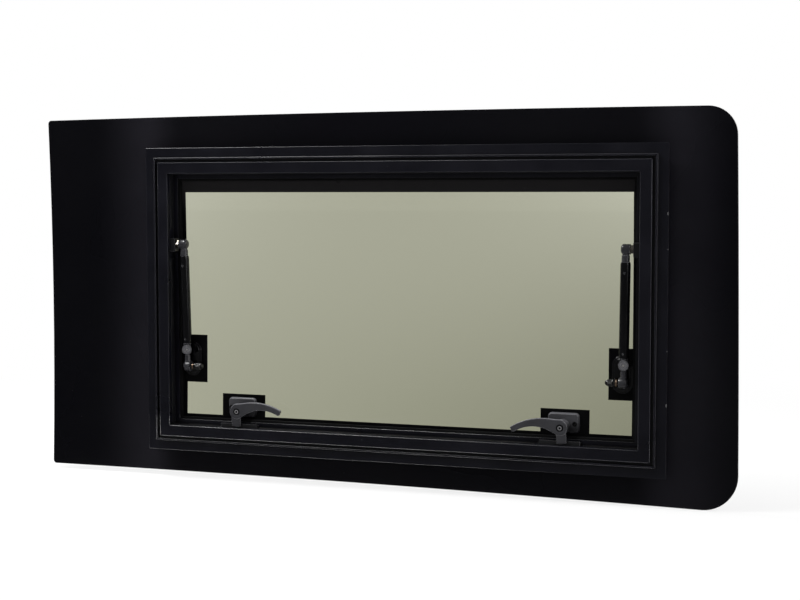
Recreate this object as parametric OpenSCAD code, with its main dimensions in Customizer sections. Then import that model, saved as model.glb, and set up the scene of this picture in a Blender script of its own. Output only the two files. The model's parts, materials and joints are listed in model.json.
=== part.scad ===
// Opening van window: a curved glass panel with a framed opening, a top-hung pane,
// two telescopic stays and two lever latches. Room side is -Y, the vehicle's outside is +Y.
// The origin is the middle of the bottom flange's rear face, which lies on the inner wall.

/* [Frame] */
// Overall width of the frame over its flanges
frame_w = 900; // [700:1:1200]
// Overall height of the frame over its flanges
frame_h = 519; // [440:1:640]
// Thickness of the profile's flange, ledge and rib walls
wall_t = 2.5; // [2:0.1:3.2]
// Width of the flange outside its raised lip
flange_w = 16.6; // [12:0.1:22]
// Width of the raised lip
lip_w = 3; // [2:0.1:4]
// Height of the lip above the flange
lip_h = 4.7; // [3:0.1:7]
// Width of the groove between the lip and the rib
groove_w = 5.2; // [3:0.1:8]
// Width of the rib
rib_w = 18.9; // [14:0.1:24]
// Height of the rib above the flange
rib_h = 5.6; // [4:0.1:8]
// Radius of the rib's and lip's long edges
edge_r = 0.8; // [0.4:0.1:0.95]
// How far the ledge stands into the opening
ledge_w = 8.7; // [6:0.1:12]
// Distance of the ledge's room side behind the flange's face
ledge_y = 15.2; // [13.5:0.1:18]
// How far the bonding foot reaches outwards under the flange
foot_w = 10; // [6:0.5:14]

/* [Glass panel] */
// How far the glass reaches past the frame on the left
border_left = 204; // [80:1:260]
// How far it reaches past the frame on the right, at the top corner
border_right_top = 100; // [70:1:200]
// How far it reaches past the frame on the right, at the bottom corner
border_right_low = 107; // [70:1:200]
// How far it reaches past the frame's top, at the left corner
border_top_left = 51; // [30:0.5:80]
// How far it reaches past the frame's top, at the middle
border_top_mid = 56; // [30:0.5:80]
// How far it reaches past the frame's top, at the right corner
border_top_right = 55.5; // [30:0.5:80]
// How far it reaches past the frame's bottom, at the left corner
border_low_left = 40; // [25:0.5:80]
// How far it reaches past the frame's bottom, at the middle
border_low_mid = 41; // [25:0.5:80]
// How far it reaches past the frame's bottom, at the right corner
border_low_right = 49; // [25:0.5:80]
// Radius of the two tight left corners
corner_tight = 6; // [3:0.5:20]
// Radius of the top right corner
corner_top = 45; // [20:1:60]
// Radius of the bottom right corner
corner_low = 54; // [20:1:65]
// Thickness of the toughened glass
glass_t = 5; // [4:0.1:6]
// Radius to which the glass is bent about a level axis
glass_r = 5750; // [4500:50:9000]
// Least depth between the frame and the glass, at the top and bottom of the panel's hole
bead_t = 4.95; // [4.6:0.05:9]

/* [Opening pane] */
// Distance from the frame's outer edge to the hole in the glass panel
hole_inset = 36; // [33:0.5:38]
// Gap between the opening pane and the hole's edge
pane_gap = 4; // [2.5:0.1:5]
// Radius of the hole's corners
hole_r = 9; // [7:0.5:14]
// Thickness of the opening pane
pane_t = 4; // [3:0.1:5]
// Thickness of the fired black border on the pane
print_t = 0.3; // [0.2:0.05:0.4]
// Width of the black border that shows inside the ledge, at the sides
clear_side = 8.6; // [4:0.1:20]
// Width of the black border that shows inside the ledge, at the top
clear_head = 23; // [8:0.1:40]
// Width of the black border that shows inside the ledge, at the bottom
clear_sill = 9.1; // [4:0.1:20]
// How far the clear part of the pane lies to the right of the frame's middle
print_shift = 2.2; // [-4:0.1:4]
// Width of the black tab behind each stay's foot
stay_tab_w = 37.5; // [36:0.5:60]
// Height of the black tab behind each stay's foot
stay_tab_h = 82; // [66:0.5:110]
// Width of the black tab behind each latch
latch_tab_w = 80; // [58:0.5:110]
// Height of the black tab behind each latch, above the black border
latch_tab_h = 37; // [34:0.5:60]

/* [Stays] */
// Distance of the upper balls from the opening's side walls
stay_in = 23.6; // [22.5:0.1:30]
// How much nearer the middle the lower balls are
stay_lean = 3.2; // [0:0.1:5]
// Distance of the upper balls below the opening's head
stay_drop = 120.3; // [60:0.1:150]
// Distance of the lower balls above the opening's sill
stay_rise = 101.6; // [90:0.1:130]
// Distance of the upper balls behind the flange's face
stay_top_y = 8.1; // [7:0.1:9]
// Distance of the lower balls behind the flange's face
stay_low_y = 12.5; // [11:0.1:13]
// Outer diameter of the outer tubes
tube_d = 16; // [14:0.1:17]
// Wall of the outer tubes
tube_wall = 1.3; // [1:0.1:1.6]
// Diameter of the ball on each stud
ball_d = 8; // [6:0.1:9]
// Outer diameter of the ball sockets
socket_d = 16.4; // [14.5:0.1:18]
// How far each clamp is turned inwards about its stay, in degrees
clamp_turn_left = 21; // [-30:1:30]
clamp_turn_right = -8.5; // [-30:0.5:30]
// Diameter of the clamp knobs
knob_d = 15.8; // [14:0.1:18]
// Thickness of the clamp knobs
knob_t = 4.7; // [3.5:0.1:6]

/* [Latches] */
// Distance of each latch pivot from the opening's side wall
latch_in = 124.9; // [110:0.1:200]
// Height of the latch pivots above the opening's sill
latch_rise = 27.9; // [26:0.1:32]
// Length of the latch base on the pane
latch_w = 51.9; // [46:0.1:56]
// Height of the latch base on the pane
latch_h = 33; // [30:0.1:34]
// Thickness of the latch base
latch_t = 4.8; // [4:0.1:6]
// Radius of the lever's hub
hub_r = 12.1; // [10.5:0.1:13]
// Thickness of the lever
lever_t = 4.6; // [3.5:0.1:5.5]
// Reach of the lever's arm from its pivot to its squared tip
lever_reach = 80; // [60:1:95]
// Width of the lever's foot
foot_t = 15.6; // [12:0.1:18]
// Space between the lever's foot and the sill
foot_clear = 2.2; // [1.5:0.1:4]
// Diameter of the pivot screw's shank
pivot_d = 6; // [4:0.1:7]
// How far the right lever's arm droops in its closed place, in degrees
right_droop = 4.5; // [0:0.5:6]
// Length of each keeper on the sill
keeper_w = 65.7; // [40:0.1:80]

/* [Hidden] */
// Clearance where still pieces stand beside each other
gap = 0.3;
// Radial clearance of a turning pin
running = 0.05;
// Bond line between the glass and what is fired or glued on it
bond = 0.05;
// How far shapes of one piece run into each other, and how far a cut passes a face
lap = 1;
// Reach of cutting shapes, well past everything they cut
past = 60;
// Facets of the glass's bend, of round parts and of small roundings
bend_fn = 1440;
bend_steps = 20;
round_fn = 64;
small_fn = 32;
// Where the sections start, counted from the frame's outer edge
lip_u = flange_w;
groove_u = lip_u + lip_w;
rib_u = groove_u + groove_w;
wall_u = rib_u + rib_w;
ledge_u = wall_u + ledge_w;
foot_u = rib_u - foot_w;
// Rear of the ledge
base_y = ledge_y + wall_t;
// Half sizes of the openings inside the rib and inside the ledge
wall_x = frame_w / 2 - wall_u;
wall_z = frame_h / 2 - wall_u;
ledge_x = frame_w / 2 - ledge_u;
ledge_z = frame_h / 2 - ledge_u;
// Half sizes of the hole in the panel and of the pane in it
hole_x = frame_w / 2 - hole_inset;
hole_z = frame_h / 2 - hole_inset;
pane_x = hole_x - pane_gap;
pane_z = hole_z - pane_gap;
// The glass's inner face at mid height, deeper than at the hole's edge by the bend's rise
glass_y = base_y + bead_t + glass_r - sqrt(glass_r * glass_r - hole_z * hole_z);
// The clear part of the pane: half width, height above and depth below the centre
clear_x = ledge_x - clear_side;
clear_top = ledge_z - clear_head;
clear_low = ledge_z - clear_sill;
// Height of the window's centre above the origin
centre_z = frame_h / 2 - flange_w / 2;
// Edges of the panel, measured from the window's centre
panel_left = frame_w / 2 + border_left;
panel_right_top = frame_w / 2 + border_right_top;
panel_right_low = frame_w / 2 + border_right_low;
// Width of the bonding bead outside the frame's foot and of its gap to the hole
bead_in = 2;
bead_hole = 1.5;
// How far the seal stands past the ledge into the opening, and its width
seal_in = 4;
seal_w = 10;
// Hinge: sheet thickness, depth of the hook, overlap on the ledge, and its ends
hinge_t = 1.2;
hinge_deep = 4;
hinge_low = 7;
hinge_end = 6;
hinge_play = 2;
hinge_low_z = ledge_z + hinge_low;
hook_z = hole_z - hinge_t;
// Trim strips in the opening: thickness, room-side edge, corner gap, gaps at the fittings
strip_t = 1.2;
strip_y = 2;
strip_corner = 2;
strip_end = ledge_y - gap;
strip_break = 14;
keeper_break = 7;
// Stay brackets on the side walls
bracket_w = 10.5;
bracket_h = 22;
bracket_low = 1.1;
bracket_bore = 9;
// Upper stud: hexagon across its corners and its thickness, neck and shank
hex_d = 15;
hex_t = 4.5;
stud_neck = 4.5;
stud_d = 5;
stud_in = 8;
// Places of the balls
stay_x = wall_x - stay_in;
stay_low_x = stay_x - stay_lean;
stay_top_z = wall_z - stay_drop;
stay_low_z = wall_z - stay_rise;
// Line from the upper ball to the lower one: its run, length and two angles
stay_run = sqrt(pow(stay_top_z + stay_low_z, 2) + pow(stay_low_y - stay_top_y, 2));
stay_len = sqrt(pow(stay_run, 2) + pow(stay_lean, 2));
stay_tilt = atan((stay_low_y - stay_top_y) / (stay_top_z + stay_low_z));
stay_splay = asin(stay_lean / stay_len);
// Stations along the stay, from the upper ball or back from the lower one
tube_from = 20;
tube_to = stay_len - 38.8;
shoulder_h = 4;
shoulder_d = 14.4;
spigot_h = 15;
crimp_at = 17;
crimp_end = 8;
crimp_d = 3.4;
knob_at = stay_len - 29.3;
barrel_h = 17.4;
rod_from = 38;
rod_d = 7.4;
low_neck_h = 18.6;
// Sockets: head lengths, radius of the closed end, necks and the groove beside the head
top_head = 14.3;
low_head = 13.2;
head_r = 4.4;
neck_d = 12.8;
low_neck_d = 9.8;
groove_d = 10.8;
groove_h = 1.2;
barrel_d = 12.8;
knob_pin = 5;
knob_in = 1.3;
knob_dish = 12.4;
knob_sunk = 0.7;
knob_hub = 5.4;
// Stay foot on the pane: place of its middle, flange and dome sizes
foot_mid = 3.5;
foot_up = 12.2;
foot_base_w = 34;
foot_base_h = 60;
foot_base_t = 2.6;
foot_dome_w = 26;
foot_dome_h = 51;
foot_dome_t = 4.8;
// Ear for the lower stud, its washer and its domed nut
ear_in = 17;
ear_t = 4.5;
ear_d = 13;
washer_d = 11;
washer_t = 2.6;
nut_d = 12.4;
nut_h = 7;
dome_d = 10.2;
ear_x = stay_low_x - ear_in;
foot_x = stay_low_x - foot_mid;
foot_z = stay_low_z - foot_up;
// Places of the latches
latch_x = wall_x - latch_in;
latch_z = wall_z - latch_rise;
latch_up = 5.4;
latch_out = 0.8;
latch_mid_z = latch_z - latch_up;
// Latch depths, counted from the flange's face towards the outside
lever_front = -1.6;
lever_back = lever_front + lever_t;
boss_front = lever_back + gap;
latch_y = inside_y(latch_mid_z) - print_t - latch_t;
// Latch base: corner radius, rim taper, boss under the lever, screw holes and depth of the bore
latch_r = 7;
latch_taper = 2;
boss_r = 11.8;
screw_out = 18.4;
screw_low = 1.1;
screw_d = 5.2;
screw_sink = 3.4;
bore_past = 2;
// Lever arm: start and bend of its middle line, half widths at the hub and at the tip
arm_from = [12, 5];
arm_bend = [46, 17.4];
arm_drop = 1.2;
tip_round = 2.2;
tip_steps = 6;
arm_hub = 10;
arm_tip = 4.8;
arm_steps = 16;
arm_fall = 2.2;
// Round shoulder where the hub runs into the arm, the arm's lower root, and the foot's shift
// outwards and its step below the hub's face
hub_top_r = 6;
hub_top = [-1.6, 7.4];
hub_meet = [-1, 5.8];
hub_low = [8.6, -8.4];
foot_shift = 1.1;
foot_sunk = 1;
foot_reach = latch_rise - foot_clear;
// Screw through the lever: head, its recess and its socket
head_d = 8.4;
head_t = 1.5;
head_proud = 0.4;
recess_d = 10;
recess_t = 1.2;
socket_key = 3.6;
socket_sunk = 1;
// Keepers: shift from the pivot, front, heights of lip and body, lip depth and screw holes
keeper_in = 1.6;
keeper_front = lever_back + 0.5;
keeper_h = 7;
keeper_low = 4.6;
keeper_lip = 3.4;
keeper_end = 9;
keeper_screw = 6.4;
keeper_sink = 1.6;
keeper_x = latch_x - keeper_in;

// Depth of the glass's inner face at a height
function inside_y(z) = glass_y - glass_r + sqrt(glass_r * glass_r - z * z);
// The panel's top and bottom edges, each a parabola through its three heights
function through(x, xa, za, xb, zb, xc, zc) =
    za * (x - xb) * (x - xc) / ((xa - xb) * (xa - xc))
    + zb * (x - xa) * (x - xc) / ((xb - xa) * (xb - xc))
    + zc * (x - xa) * (x - xb) / ((xc - xa) * (xc - xb));
function top_z(x) = frame_h / 2 + through(x, -panel_left, border_top_left, 0, border_top_mid,
    panel_right_top, border_top_right);
function low_z(x) = -frame_h / 2 - through(x, -panel_left, border_low_left, 0, border_low_mid,
    panel_right_low, border_low_right);
function arc(cx, cz, r, from, to, n) = [for (i = [0:n])
    let (a = from + (to - from) * i / n) [cx + r * cos(a), cz + r * sin(a)]];
function panel_outline() = concat(
    arc(-panel_left + corner_tight, low_z(-panel_left) + corner_tight, corner_tight, 180, 270, 4),
    [for (i = [1:11]) let (x = -panel_left + (panel_left + panel_right_low - corner_low) * i / 12)
        [x, low_z(x)]],
    arc(panel_right_low - corner_low, low_z(panel_right_low - corner_low) + corner_low,
        corner_low, 270, 360, 12),
    arc(panel_right_top - corner_top, top_z(panel_right_top - corner_top) - corner_top,
        corner_top, 0, 90, 12),
    [for (i = [11:-1:1]) let (x = -panel_left + (panel_left + panel_right_top - corner_top) * i / 12)
        [x, top_z(x)]],
    arc(-panel_left + corner_tight, top_z(-panel_left) - corner_tight, corner_tight, 90, 180, 4));

// Everything below is drawn round the window's centre, with the flange's face at y = 0
module at_centre() {
    translate([0, -wall_t, centre_z])
        children();
}
// Right-hand fittings as drawn, or mirrored for the left
module handed(side) {
    mirror([side < 0 ? 1 : 0, 0, 0])
        children();
}
// A flat shape drawn in x and z, from y = y0 to y1
module slab(y0, y1) {
    translate([0, y1, 0])
        rotate([90, 0, 0])
            linear_extrude(height = y1 - y0)
                children();
}
// A round bar towards the outside from y0 to y1, or along x from x0 to x1
module peg(d, y0, y1, sides = round_fn) {
    translate([0, y0, 0])
        rotate([-90, 0, 0])
            cylinder(d = d, h = y1 - y0, $fn = sides);
}
module rod_x(d, x0, x1, sides = round_fn) {
    translate([x0, 0, 0])
        rotate([0, 90, 0])
            rotate(sides < small_fn ? 180 / sides : 0)
                cylinder(d = d, h = x1 - x0, $fn = sides);
}
module rounded(w, h, r) {
    square([w - 2 * r, h], center = true);
    square([w, h - 2 * r], center = true);
    for (x = [-1, 1], z = [-1, 1])
        translate([x * (w / 2 - r), z * (h / 2 - r)])
            circle(r = r, $fn = small_fn);
}
module oval(w, h) {
    square([w, h - w], center = true);
    for (z = [-1, 1])
        translate([0, z * (h - w) / 2])
            circle(d = w, $fn = round_fn);
}
// The drum that the glass is bent to, its wall "off" behind the glass's inner face
module drum(off) {
    translate([0, glass_y - glass_r, 0])
        rotate([0, 90, 0])
            cylinder(r = glass_r + off, h = 3 * panel_left, center = true, $fn = bend_fn);
}
// A sheet bent like the glass, between two offsets from its inner face
module bent_sheet(from, to) {
    difference() {
        intersection() {
            slab(0, past)
                children();
            drum(to);
        }
        drum(from);
    }
}
// Everything on the room side of the bend, for what is bonded to it: short flats between its points
module inside_bend(off = 0) {
    reach = asin(panel_left / 2 / glass_r);
    translate([-1.5 * panel_left, glass_y - glass_r, 0])
        rotate([90, 0, 90])
            linear_extrude(height = 3 * panel_left)
                polygon(concat([[glass_r - 2 * past, -panel_left], [glass_r - 2 * past, panel_left]],
                    [for (i = [bend_steps:-1:-bend_steps]) let (a = reach * i / bend_steps)
                        (glass_r + off - bond) * [cos(a), sin(a)]]));
}

module outer_panel() {
    color("#17191b")
        bent_sheet(0, glass_t)
            difference() {
                polygon(panel_outline());
                rounded(2 * hole_x, 2 * hole_z, hole_r);
            }
}
module opening_pane() {
    color("#a9a994", 0.6)
        bent_sheet(0, pane_t)
            rounded(2 * pane_x, 2 * pane_z, hole_r - pane_gap);
}
// Black border fired on the pane, with a tab behind each fitting
module pane_border() {
    color("#101112")
        bent_sheet(-print_t, -bond)
            difference() {
                rounded(2 * pane_x, 2 * pane_z, hole_r - pane_gap);
                translate([print_shift, 0])
                    difference() {
                        translate([-clear_x, -clear_low])
                            square([2 * clear_x, clear_top + clear_low]);
                        for (side = [-1, 1]) {
                            translate([side * (clear_x - stay_tab_w / 2), -foot_z])
                                square([stay_tab_w + lap, stay_tab_h], center = true);
                            translate([side * latch_x, -clear_low + latch_tab_h / 2])
                                square([latch_tab_w, latch_tab_h + lap], center = true);
                        }
                    }
            }
}
module bonding_bead() {
    color("#0d0d0e")
        intersection() {
            slab(base_y, past)
                difference() {
                    square([frame_w - 2 * (foot_u + bead_in), frame_h - 2 * (foot_u + bead_in)],
                        center = true);
                    square(2 * [hole_x + bead_hole, hole_z + bead_hole], center = true);
                }
            inside_bend();
        }
}
// Section of the frame: u runs from the outer edge inwards, y from the flange's face outwards
module frame_section() {
    difference() {
        union() {
            square([rib_u + lap, wall_t]);
            translate([lip_u, -lip_h + edge_r])
                square([lip_w, lip_h]);
            translate([lip_u + edge_r, -lip_h])
                square([lip_w - 2 * edge_r, lip_h]);
            for (u = [lip_u + edge_r, groove_u - edge_r])
                translate([u, -lip_h + edge_r])
                    circle(r = edge_r, $fn = small_fn);
            translate([rib_u, -rib_h + edge_r])
                square([rib_w, rib_h + ledge_y]);
            translate([rib_u + edge_r, -rib_h])
                square([rib_w - 2 * edge_r, rib_h]);
            for (u = [rib_u + edge_r, wall_u - edge_r])
                translate([u, -rib_h + edge_r])
                    circle(r = edge_r, $fn = small_fn);
            translate([foot_u, ledge_y])
                square([ledge_u - foot_u, wall_t]);
        }
        translate([rib_u + wall_t, -rib_h + wall_t])
            square([rib_w - 2 * wall_t, rib_h + ledge_y - wall_t]);
    }
}
// A length of the section laid along x at the window's bottom edge, mitred at both ends
module frame_bar(length, drop) {
    color("#26282b")
        intersection() {
            translate([-length / 2, 0, -drop])
                rotate([90, 0, 90])
                    linear_extrude(height = length)
                        rotate(90)
                            mirror([0, 1])
                                frame_section();
            slab(-past, past)
                polygon([[-length / 2, -drop], [length / 2, -drop],
                    [length / 2 - past, -drop + past], [-length / 2 + past, -drop + past]]);
        }
}
module frame_bottom() {
    frame_bar(frame_w, frame_h / 2);
}
module frame_top() {
    mirror([0, 0, 1])
        frame_bar(frame_w, frame_h / 2);
}
module frame_right() {
    rotate([0, -90, 0])
        frame_bar(frame_h, frame_w / 2);
}
module frame_left() {
    rotate([0, 90, 0])
        frame_bar(frame_h, frame_w / 2);
}
// Rubber ring between the ledge and the pane
module pane_seal() {
    color("#0b0b0b")
        intersection() {
            slab(base_y, past)
                difference() {
                    square(2 * [ledge_x - seal_in + seal_w, ledge_z - seal_in + seal_w],
                        center = true);
                    square(2 * [ledge_x - seal_in, ledge_z - seal_in], center = true);
                }
            inside_bend(-print_t);
        }
}
// Hook rail under the frame's top bar, over the pane's upper edge
module hinge_rail() {
    half = wall_x - hinge_end;
    color("#303236") {
        slab(base_y, base_y + hinge_t)
            translate([-half, hinge_low_z])
                square([2 * half, hook_z + hinge_t - hinge_low_z]);
        slab(base_y, base_y + hinge_deep)
            translate([-half, hook_z])
                square([2 * half, hinge_t]);
    }
}
// Leaf bonded along the pane's upper edge, with a round bead that hangs in the hook
module hinge_leaf() {
    half = wall_x - hinge_end - hinge_play;
    bead_z = hook_z - gap - hinge_t;
    bead_y = base_y + hinge_t + gap + hinge_t;
    color("#303236")
        intersection() {
            union() {
                slab(bead_y, past)
                    translate([-half, hinge_low_z])
                        square([2 * half, bead_z - hinge_low_z]);
                translate([0, bead_y, bead_z])
                    rod_x(2 * hinge_t, -half, half, small_fn);
            }
            inside_bend(-print_t);
        }
}

// Trim strips on the walls of the opening
module strip_along_x(x0, x1, z_wall, up) {
    color("#4b4d50")
        translate([x0, strip_y, up > 0 ? z_wall : z_wall - strip_t])
            cube([x1 - x0, strip_end - strip_y, strip_t]);
}
module strip_along_z(z0, z1, side) {
    color("#4b4d50")
        handed(side)
            translate([wall_x - strip_t, strip_y, z0])
                cube([strip_t, strip_end - strip_y, z1 - z0]);
}
module head_strip() {
    strip_along_x(-wall_x + strip_corner, wall_x - strip_corner, wall_z, -1);
}
module sill_strip_end(side) {
    handed(side)
        strip_along_x(keeper_x + keeper_w / 2 + keeper_break, wall_x - strip_corner, -wall_z, 1);
}
module sill_strip_middle() {
    half = keeper_x - keeper_w / 2 - keeper_break;
    strip_along_x(-half, half, -wall_z, 1);
}
module jamb_strip_upper(side) {
    strip_along_z(stay_top_z + bracket_h / 2 + strip_break, wall_z - strip_corner, side);
}
module jamb_strip_lower(side) {
    strip_along_z(-wall_z + strip_corner, stay_top_z - bracket_h / 2 - strip_break, side);
}
// Keeper on the sill: a block with a higher lip that the lever's foot bears on
module keeper() {
    color("#2b2d30")
        translate([keeper_x - keeper_w / 2, keeper_front, -wall_z])
            difference() {
                union() {
                    cube([keeper_w, ledge_y - keeper_front, keeper_low]);
                    cube([keeper_w, keeper_lip, keeper_h]);
                }
                for (x = [keeper_end, keeper_w - keeper_end])
                    translate([x, (ledge_y - keeper_front + keeper_lip) / 2, keeper_low - keeper_sink])
                        cylinder(d = keeper_screw, h = past, $fn = round_fn);
            }
}

// Lever latch: a base on the pane, a lever on its boss, and the screw through both. Both bases are
// the same part, so each stands a little to the right of its pivot
module latch_base(side) {
    color("#55575a")
        translate([latch_x, 0, 0])
            difference() {
                intersection() {
                    union() {
                        translate([side * latch_out, 0, -latch_mid_z]) {
                            hull() {
                                slab(latch_y, latch_y + lap)
                                    rounded(latch_w - 2 * latch_taper, latch_h - 2 * latch_taper,
                                        latch_r - latch_taper);
                                slab(latch_y + latch_t - lap, latch_y + latch_t)
                                    rounded(latch_w, latch_h, latch_r);
                            }
                            slab(latch_y + latch_t - lap, past)
                                rounded(latch_w, latch_h, latch_r);
                        }
                        translate([0, 0, -latch_z])
                            peg(2 * boss_r, boss_front, latch_y + lap);
                    }
                    inside_bend(-print_t);
                }
                translate([0, 0, -latch_z])
                    peg(pivot_d + 2 * running, -past, latch_y + bore_past);
                for (end = [-1, 1])
                    translate([side * latch_out + end * screw_out, 0, -latch_mid_z - screw_low])
                        peg(screw_d, 0, latch_y + screw_sink);
            }
}
// Middle line of the lever's arm, with the arm towards -x as on the right-hand latch
function arm_point(t) = let (tip = [lever_reach - tip_round, arm_drop])
    pow(1 - t, 2) * arm_from + 2 * t * (1 - t) * arm_bend + t * t * tip;
function arm_way(t) = let (way = (1 - t) * (arm_bend - arm_from)
    + t * ([lever_reach - tip_round, arm_drop] - arm_bend)) way / norm(way);
function arm_side(t) = [-arm_way(t)[1], arm_way(t)[0]];
function arm_half(t) = arm_tip + (arm_hub - arm_tip) * pow(1 - t, arm_fall);
function arm_edge(t, side) = arm_point(t) + side * arm_half(t) * arm_side(t);
// The squared tip's two rounded corners, the upper one with side 1 first
function tip_turn(side, i) = atan2(arm_way(1)[1], arm_way(1)[0])
    + 90 * ((side + 1) / 2 - i / tip_steps);
function tip_edge(side, i) = arm_point(1) + side * (arm_tip - tip_round) * arm_side(1)
    + tip_round * [cos(tip_turn(side, i)), sin(tip_turn(side, i))];
module arm_outline() {
    polygon(concat([[0, 0], hub_top + hub_meet],
        [for (i = [0:arm_steps]) arm_edge(i / arm_steps, 1)],
        [for (i = [1:tip_steps]) tip_edge(1, i)],
        [for (i = [0:tip_steps - 1]) tip_edge(-1, i)],
        [for (i = [arm_steps:-1:0]) arm_edge(i / arm_steps, -1)], [hub_low]));
}
module latch_lever(droop) {
    color("#606265")
        translate([latch_x, 0, -latch_z])
            rotate([0, -droop, 0])
                mirror([1, 0, 0])
                    difference() {
                        union() {
                            peg(2 * hub_r, lever_front, lever_back);
                            translate([hub_top[0], 0, hub_top[1]])
                                peg(2 * hub_top_r, lever_front, lever_back);
                            slab(lever_front, lever_back)
                                arm_outline();
                            intersection() {
                                peg(2 * foot_reach, lever_front + foot_sunk, lever_back);
                                translate([-foot_shift - foot_t / 2, lever_front - lap,
                                    -foot_reach - lap])
                                    cube([foot_t, lever_t + 2 * lap, foot_reach + lap]);
                            }
                        }
                        peg(pivot_d + 2 * running, lever_front - lap, lever_back + lap);
                        peg(recess_d, lever_front - lap, lever_front + recess_t);
                    }
}
module latch_pivot() {
    head_y = lever_front + recess_t - head_t;
    color("#8d8f90")
        translate([latch_x, 0, -latch_z])
            difference() {
                union() {
                    peg(head_d, head_y, head_y + head_t - running);
                    peg(pivot_d, head_y + head_t / 2, latch_y + bore_past - gap);
                }
                peg(socket_key, head_y - lap, head_y + socket_sunk, 6);
            }
}

// Draws along the stay's line: z runs from the upper ball down to the lower one, y to the room
module on_stay() {
    translate([stay_x, stay_top_y, stay_top_z])
        rotate([180 + stay_tilt, 0, 0])
            rotate([0, -stay_splay, 0])
                children();
}
module stay_bracket() {
    color("#3a3c3f")
        translate([wall_x - bracket_w, 0, stay_top_z - bracket_low])
            difference() {
                translate([0, 0, -bracket_h / 2])
                    cube([bracket_w, ledge_y - gap, bracket_h]);
                translate([0, stay_top_y, bracket_low])
                    rod_x(stud_d + 2 * running, -lap, bracket_bore);
            }
}
module upper_stud() {
    hex_x = wall_x - bracket_w - gap - hex_t;
    color("#a98d63")
        translate([0, stay_top_y, stay_top_z]) {
            translate([stay_x, 0, 0])
                sphere(d = ball_d, $fn = round_fn);
            rod_x(stud_neck, stay_x, hex_x + lap);
            rod_x(hex_d, hex_x, hex_x + hex_t, 6);
            rod_x(stud_d, hex_x + lap, hex_x + hex_t + stud_in);
        }
}
// Head of a ball socket across the stay: open towards +x, its closed end rounded
module socket_head(length) {
    difference() {
        translate([-length / 2, 0, 0])
            rotate([0, 90, 0])
                rotate_extrude($fn = round_fn) {
                    square([socket_d / 2 - head_r, length]);
                    translate([0, head_r])
                        square([socket_d / 2, length - head_r]);
                    intersection() {
                        translate([socket_d / 2 - head_r, head_r])
                            circle(r = head_r, $fn = small_fn);
                        square([socket_d, length]);
                    }
                }
        rod_x(ball_d + 2 * gap, -ball_d / 2 - gap, past);
    }
}
// Neck of a ball socket, with a groove beside the head and a cleared way for the ball
module socket_neck(d, length) {
    difference() {
        union() {
            cylinder(d = groove_d, h = socket_d / 2 + groove_h, $fn = round_fn);
            translate([0, 0, socket_d / 2 + groove_h])
                cylinder(d = d, h = length - socket_d / 2 - groove_h, $fn = round_fn);
        }
        rod_x(ball_d + 2 * gap, -ball_d / 2 - gap, past);
    }
}
module upper_socket() {
    color("#38393b")
        on_stay() {
            socket_head(top_head);
            socket_neck(neck_d, tube_from + spigot_h);
        }
}
// Outer tube: a rounded shoulder at its top, and dents that hold the fittings in it
module stay_tube() {
    bore = tube_d - 2 * tube_wall;
    color("#3c3e41")
        on_stay()
            difference() {
                union() {
                    translate([0, 0, tube_from])
                        cylinder(d1 = shoulder_d, d2 = tube_d, h = shoulder_h, $fn = round_fn);
                    translate([0, 0, tube_from + shoulder_h])
                        cylinder(d = tube_d, h = tube_to - tube_from - shoulder_h, $fn = round_fn);
                }
                translate([0, 0, tube_from - lap])
                    cylinder(d = bore, h = tube_to - tube_from + 2 * lap, $fn = round_fn);
                for (z = [tube_from + crimp_at, tube_to - crimp_end])
                    translate([0, (tube_d + crimp_d) / 2 - tube_wall / 2, z])
                        sphere(d = crimp_d, $fn = small_fn);
            }
}
// Inner rod with the lower ball socket on its end
module stay_rod() {
    color("#4a4c4e")
        on_stay() {
            translate([0, 0, rod_from])
                cylinder(d = rod_d, h = stay_len - rod_from - low_neck_h + lap, $fn = round_fn);
            translate([0, 0, stay_len])
                rotate([0, 180, 0]) {
                    socket_head(low_head);
                    socket_neck(low_neck_d, low_neck_h);
                }
        }
}
// Clamp: a barrel under the tube's end, a spigot up into it, and a boss for the knob
module stay_clamp(turn) {
    bore = rod_d + 2 * gap;
    color("#333537")
        on_stay()
            difference() {
                union() {
                    translate([0, 0, tube_to + gap])
                        cylinder(d = barrel_d, h = barrel_h, $fn = round_fn);
                    translate([0, 0, tube_to - spigot_h])
                        cylinder(d = tube_d - 2 * tube_wall - 2 * gap, h = spigot_h + lap,
                            $fn = round_fn);
                }
                translate([0, 0, tube_to - spigot_h - lap])
                    cylinder(d = bore, h = spigot_h + barrel_h + 3 * lap, $fn = round_fn);
                translate([0, 0, knob_at])
                    rotate([-90, 0, turn])
                        cylinder(d = knob_pin + 2 * running, h = past, $fn = round_fn);
            }
}
module clamp_knob(turn) {
    color("#8b8c8d")
        on_stay()
            rotate([0, 0, turn])
                translate([0, barrel_d / 2 + gap, knob_at])
                    rotate([-90, 0, 0]) {
                        difference() {
                            cylinder(d = knob_d, h = knob_t, $fn = round_fn);
                            translate([0, 0, knob_t - knob_sunk])
                                difference() {
                                    cylinder(d = knob_dish, h = knob_t, $fn = round_fn);
                                    cylinder(d = knob_hub, h = knob_t, $fn = round_fn);
                                }
                        }
                        translate([0, 0, -knob_in])
                            cylinder(d = knob_pin, h = knob_in + lap, $fn = round_fn);
                    }
}
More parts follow.
